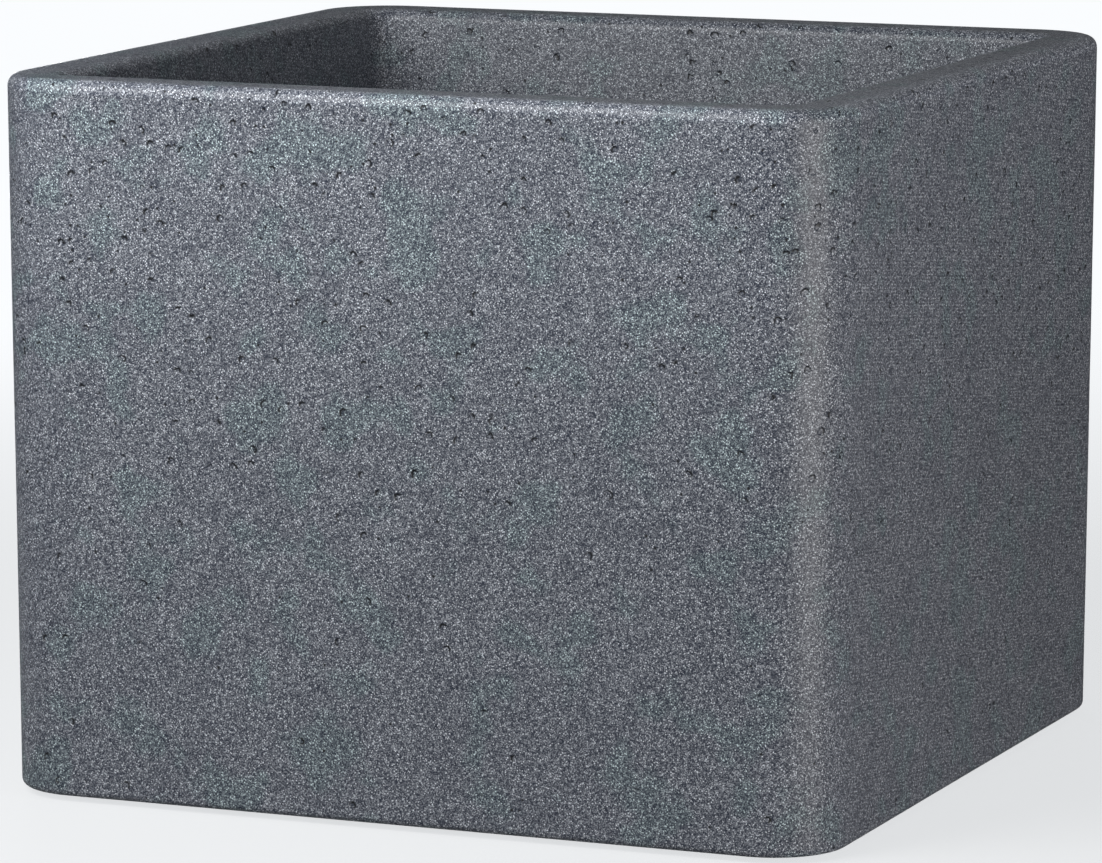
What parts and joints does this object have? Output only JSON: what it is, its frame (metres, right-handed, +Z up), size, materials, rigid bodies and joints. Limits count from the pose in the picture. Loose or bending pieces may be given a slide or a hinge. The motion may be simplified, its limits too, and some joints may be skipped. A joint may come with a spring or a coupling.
{
  "type": "planter box",
  "caption": "Square double-walled planter with a tapered planting bowl, rounded rim, lift-out drain plugs in the bowl floor and rubber feet.",
  "frame": {"origin": "on the ground, under the middle of the planter", "axes": "+Z up, front face towards -Y, +X to the right when facing the front"},
  "size_m": [0.4, 0.4, 0.325],
  "materials": {
    "granite_plastic": "satin, granite-speckled",
    "plug_plastic": "satin, fine spark texture",
    "seal_rubber": "matt",
    "vent_plastic": "satin",
    "foot_rubber": "matt, fine grip texture"
  },
  "bodies": {
    "planter": {"planter_shell": "granite_plastic", "vent_plug": "vent_plastic", "rubber_foot_front_left": "foot_rubber", "rubber_foot_front_right": "foot_rubber", "rubber_foot_rear_left": "foot_rubber", "rubber_foot_rear_right": "foot_rubber"},
    "plug_front_left": {"drain_plug_front_left": "plug_plastic", "drain_seal_front_left": "seal_rubber"},
    "plug_front_right": {"drain_plug_front_right": "plug_plastic", "drain_seal_front_right": "seal_rubber"},
    "plug_rear_left": {"drain_plug_rear_left": "plug_plastic", "drain_seal_rear_left": "seal_rubber"},
    "plug_rear_right": {"drain_plug_rear_right": "plug_plastic", "drain_seal_rear_right": "seal_rubber"}
  },
  "joints": [
    {"name": "plug_lift_front_left", "type": "slide", "parent": "planter", "child": "plug_front_left", "axis": [0, 0, 1], "range_m": [0, 0.05]},
    {"name": "plug_lift_front_right", "type": "slide", "parent": "planter", "child": "plug_front_right", "axis": [0, 0, 1], "range_m": [0, 0.05]},
    {"name": "plug_lift_rear_left", "type": "slide", "parent": "planter", "child": "plug_rear_left", "axis": [0, 0, 1], "range_m": [0, 0.05]},
    {"name": "plug_lift_rear_right", "type": "slide", "parent": "planter", "child": "plug_rear_right", "axis": [0, 0, 1], "range_m": [0, 0.05]}
  ]
}
